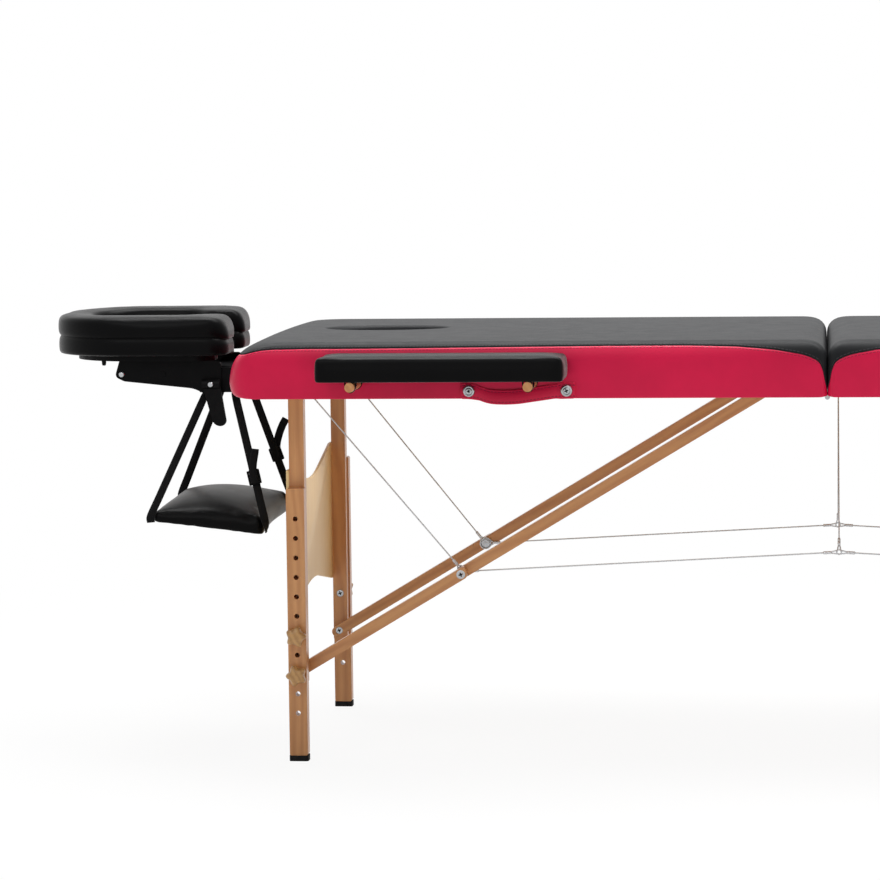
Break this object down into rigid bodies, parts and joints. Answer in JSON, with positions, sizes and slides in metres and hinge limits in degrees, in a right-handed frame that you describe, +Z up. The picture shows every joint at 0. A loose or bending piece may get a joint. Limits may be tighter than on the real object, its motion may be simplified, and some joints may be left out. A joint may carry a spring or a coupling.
{
  "type": "folding massage table",
  "caption": "Two-section folding massage table with wooden telescopic legs, folding struts, cable bracing, a tilting face cradle, an arm sling and side armrests.",
  "frame": {"origin": "on the floor under the middle of the whole object", "axes": "+X from the face cradle to the foot end, +Y to the far long side, +Z up"},
  "size_m": [2.193, 0.8858, 0.7],
  "materials": {
    "black_vinyl": "soft satin vinyl",
    "pink_vinyl": "soft satin vinyl",
    "beech": "clear lacquer",
    "plywood": "clear lacquer",
    "knob_wood": "clear lacquer",
    "steel": "zinc plated",
    "cable_steel": "stranded wire",
    "black_metal": "black paint",
    "black_plastic": "fine texture",
    "black_rubber": "matt",
    "black_webbing": "woven"
  },
  "bodies": {
    "hinge_pins": {"fold_hinge_pins": "steel"},
    "head_top": {"head_deck": "plywood", "head_frame": "beech", "head_skirt": "pink_vinyl", "head_cushion": "black_vinyl", "head_hardware": "steel", "head_stay_cables": "cable_steel"},
    "foot_top": {"foot_deck": "plywood", "foot_frame": "beech", "foot_skirt": "pink_vinyl", "foot_cushion": "black_vinyl", "foot_hardware": "steel", "foot_stay_cables": "cable_steel"},
    "head_leg_frame": {"head_legs": "beech", "head_leg_panel": "plywood", "head_leg_fasteners": "steel"},
    "head_upper_braces": {"head_upper_struts": "beech", "head_knee_nuts": "steel"},
    "head_lower_braces": {"head_lower_struts": "beech", "head_knee_bolts": "steel"},
    "head_span": {"head_span_cables": "cable_steel"},
    "head_carry_strap": {"head_handle": "pink_vinyl"},
    "head_near_leg_extension": {"head_near_extension": "beech", "head_near_rubber_foot": "black_rubber"},
    "head_near_lower_star_knob": {"head_near_lower_knob": "knob_wood"},
    "head_near_upper_star_knob": {"head_near_upper_knob": "knob_wood"},
    "head_far_leg_extension": {"head_far_extension": "beech", "head_far_rubber_foot": "black_rubber"},
    "head_far_lower_star_knob": {"head_far_lower_knob": "knob_wood"},
    "head_far_upper_star_knob": {"head_far_upper_knob": "knob_wood"},
    "foot_leg_frame": {"foot_legs": "beech", "foot_leg_panel": "plywood", "foot_leg_fasteners": "steel"},
    "foot_upper_braces": {"foot_upper_struts": "beech", "foot_knee_nuts": "steel"},
    "foot_lower_braces": {"foot_lower_struts": "beech", "foot_knee_bolts": "steel"},
    "foot_span": {"foot_span_cables": "cable_steel"},
    "foot_carry_strap": {"foot_handle": "pink_vinyl"},
    "foot_near_leg_extension": {"foot_near_extension": "beech", "foot_near_rubber_foot": "black_rubber"},
    "foot_near_lower_star_knob": {"foot_near_lower_knob": "knob_wood"},
    "foot_near_upper_star_knob": {"foot_near_upper_knob": "knob_wood"},
    "foot_far_leg_extension": {"foot_far_extension": "beech", "foot_far_rubber_foot": "black_rubber"},
    "foot_far_lower_star_knob": {"foot_far_lower_knob": "knob_wood"},
    "foot_far_upper_star_knob": {"foot_far_upper_knob": "knob_wood"},
    "centre_drop": {"centre_cable": "cable_steel"},
    "headrest_mount": {"headrest_base": "black_metal"},
    "face_cradle": {"cradle_plates": "black_metal", "cradle_platform": "black_plastic", "face_cushion": "black_vinyl"},
    "clamp_lever": {"cam_lever": "black_plastic"},
    "arm_sling": {"sling_pad": "black_vinyl", "sling_straps": "black_webbing", "sling_buckles": "black_plastic"},
    "near_armrest": {"near_armrest_pad": "black_vinyl", "near_armrest_dowels": "beech"},
    "far_armrest": {"far_armrest_pad": "black_vinyl", "far_armrest_dowels": "beech"}
  },
  "joints": [
    {"name": "head_fold", "type": "hinge", "parent": "hinge_pins", "child": "head_top", "pos_m": [0.1665, 0, 0.5785], "axis": [0, -1, 0], "range_deg": [0, 90], "deforming": ["head_stay_cables", "head_span_cables"]},
    {"name": "foot_fold", "type": "hinge", "parent": "hinge_pins", "child": "foot_top", "pos_m": [0.1665, 0, 0.5785], "axis": [0, 1, 0], "range_deg": [0, 90], "deforming": ["foot_stay_cables", "foot_span_cables", "centre_cable"]},
    {"name": "head_leg_fold", "type": "hinge", "parent": "head_top", "child": "head_leg_frame", "pos_m": [-0.6685, 0, 0.605], "axis": [0, 1, 0], "range_deg": [-90, 0]},
    {"name": "head_upper_brace_fold", "type": "hinge", "parent": "head_top", "child": "head_upper_braces", "pos_m": [0.1245, 0, 0.615], "axis": [0, 1, 0], "range_deg": [0, 30.97]},
    {"name": "head_lower_brace_fold", "type": "hinge", "parent": "head_leg_frame", "child": "head_lower_braces", "pos_m": [-0.6685, 0, 0.139], "axis": [0, 1, 0], "range_deg": [-57.11, 0]},
    {"name": "head_span_lift", "type": "slide", "parent": "head_top", "child": "head_span", "axis": [-0.267, 0, 0.9637], "range_m": [0, 0.33424]},
    {"name": "head_handle_swing", "type": "hinge", "parent": "head_top", "child": "head_carry_strap", "pos_m": [-0.3078, -0.3423, 0.594], "axis": [-1, 0, 0], "range_deg": [0, 65], "deforming": ["head_handle"]},
    {"name": "head_near_height", "type": "slide", "parent": "head_leg_frame", "child": "head_near_leg_extension", "axis": [0, 0, -1], "range_m": [-0.062, 0.124]},
    {"name": "head_near_lower_knob_turn", "type": "hinge", "parent": "head_leg_frame", "child": "head_near_lower_star_knob", "pos_m": [-0.6685, 0, 0.139], "axis": [0, 1, 0], "continuous": true},
    {"name": "head_near_upper_knob_turn", "type": "hinge", "parent": "head_leg_frame", "child": "head_near_upper_star_knob", "pos_m": [-0.6685, 0, 0.201], "axis": [0, 1, 0], "continuous": true},
    {"name": "head_far_height", "type": "slide", "parent": "head_leg_frame", "child": "head_far_leg_extension", "axis": [0, 0, -1], "range_m": [-0.062, 0.124]},
    {"name": "head_far_lower_knob_turn", "type": "hinge", "parent": "head_leg_frame", "child": "head_far_lower_star_knob", "pos_m": [-0.6685, 0, 0.139], "axis": [0, 1, 0], "continuous": true},
    {"name": "head_far_upper_knob_turn", "type": "hinge", "parent": "head_leg_frame", "child": "head_far_upper_star_knob", "pos_m": [-0.6685, 0, 0.201], "axis": [0, 1, 0], "continuous": true},
    {"name": "foot_leg_fold", "type": "hinge", "parent": "foot_top", "child": "foot_leg_frame", "pos_m": [1.0015, 0, 0.605], "axis": [0, 1, 0], "range_deg": [0, 90]},
    {"name": "foot_upper_brace_fold", "type": "hinge", "parent": "foot_top", "child": "foot_upper_braces", "pos_m": [0.2085, 0, 0.615], "axis": [0, 1, 0], "range_deg": [-30.97, 0]},
    {"name": "foot_lower_brace_fold", "type": "hinge", "parent": "foot_leg_frame", "child": "foot_lower_braces", "pos_m": [1.0015, 0, 0.139], "axis": [0, 1, 0], "range_deg": [0, 57.11]},
    {"name": "foot_span_lift", "type": "slide", "parent": "foot_top", "child": "foot_span", "axis": [0.267, 0, 0.9637], "range_m": [0, 0.33424]},
    {"name": "foot_handle_swing", "type": "hinge", "parent": "foot_top", "child": "foot_carry_strap", "pos_m": [0.6408, -0.3423, 0.594], "axis": [-1, 0, 0], "range_deg": [0, 65], "deforming": ["foot_handle"]},
    {"name": "foot_near_height", "type": "slide", "parent": "foot_leg_frame", "child": "foot_near_leg_extension", "axis": [0, 0, -1], "range_m": [-0.062, 0.124]},
    {"name": "foot_near_lower_knob_turn", "type": "hinge", "parent": "foot_leg_frame", "child": "foot_near_lower_star_knob", "pos_m": [1.0015, 0, 0.139], "axis": [0, 1, 0], "continuous": true},
    {"name": "foot_near_upper_knob_turn", "type": "hinge", "parent": "foot_leg_frame", "child": "foot_near_upper_star_knob", "pos_m": [1.0015, 0, 0.201], "axis": [0, 1, 0], "continuous": true},
    {"name": "foot_far_height", "type": "slide", "parent": "foot_leg_frame", "child": "foot_far_leg_extension", "axis": [0, 0, -1], "range_m": [-0.062, 0.124]},
    {"name": "foot_far_lower_knob_turn", "type": "hinge", "parent": "foot_leg_frame", "child": "foot_far_lower_star_knob", "pos_m": [1.0015, 0, 0.139], "axis": [0, 1, 0], "continuous": true},
    {"name": "foot_far_upper_knob_turn", "type": "hinge", "parent": "foot_leg_frame", "child": "foot_far_upper_star_knob", "pos_m": [1.0015, 0, 0.201], "axis": [0, 1, 0], "continuous": true},
    {"name": "centre_cable_fold", "type": "hinge", "parent": "foot_top", "child": "centre_drop", "pos_m": [0.1845, 0, 0.581], "axis": [0, 1, 0], "range_deg": [-90, 0]},
    {"name": "headrest_slide", "type": "slide", "parent": "head_top", "child": "headrest_mount", "axis": [-1, 0, 0], "range_m": [0, 0.09]},
    {"name": "headrest_tilt", "type": "hinge", "parent": "headrest_mount", "child": "face_cradle", "pos_m": [-0.8265, 0, 0.589], "axis": [0, 1, 0], "range_deg": [-58, 28]},
    {"name": "clamp_lever_swing", "type": "hinge", "parent": "headrest_mount", "child": "clamp_lever", "pos_m": [-0.8265, -0.1156, 0.589], "axis": [-1, 0, 0], "range_deg": [0, 90]},
    {"name": "sling_swing", "type": "hinge", "parent": "headrest_mount", "child": "arm_sling", "pos_m": [-0.8325, 0, 0.575], "axis": [0, 1, 0], "range_deg": [-6, 6], "deforming": ["sling_straps"]},
    {"name": "near_armrest_slide", "type": "slide", "parent": "head_top", "child": "near_armrest", "axis": [0, -1, 0], "range_m": [0, 0.034]},
    {"name": "far_armrest_slide", "type": "slide", "parent": "head_top", "child": "far_armrest", "axis": [0, 1, 0], "range_m": [0, 0.034]}
  ],
  "couplings": [
    {"joint": "head_leg_fold", "follows": "head_fold", "ratio": -1},
    {"joint": "head_upper_brace_fold", "follows": "head_fold", "ratio": 0.34416},
    {"joint": "head_lower_brace_fold", "follows": "head_fold", "ratio": -0.63455},
    {"joint": "head_span_lift", "follows": "head_fold", "m_per_rad": 0.21278},
    {"joint": "head_handle_swing", "follows": "head_fold", "ratio": 0.7222},
    {"joint": "foot_leg_fold", "follows": "foot_fold", "ratio": 1},
    {"joint": "foot_upper_brace_fold", "follows": "foot_fold", "ratio": -0.34416},
    {"joint": "foot_lower_brace_fold", "follows": "foot_fold", "ratio": 0.63455},
    {"joint": "foot_span_lift", "follows": "foot_fold", "m_per_rad": 0.21278},
    {"joint": "foot_handle_swing", "follows": "foot_fold", "ratio": 0.7222},
    {"joint": "centre_cable_fold", "follows": "foot_fold", "ratio": -1}
  ]
}
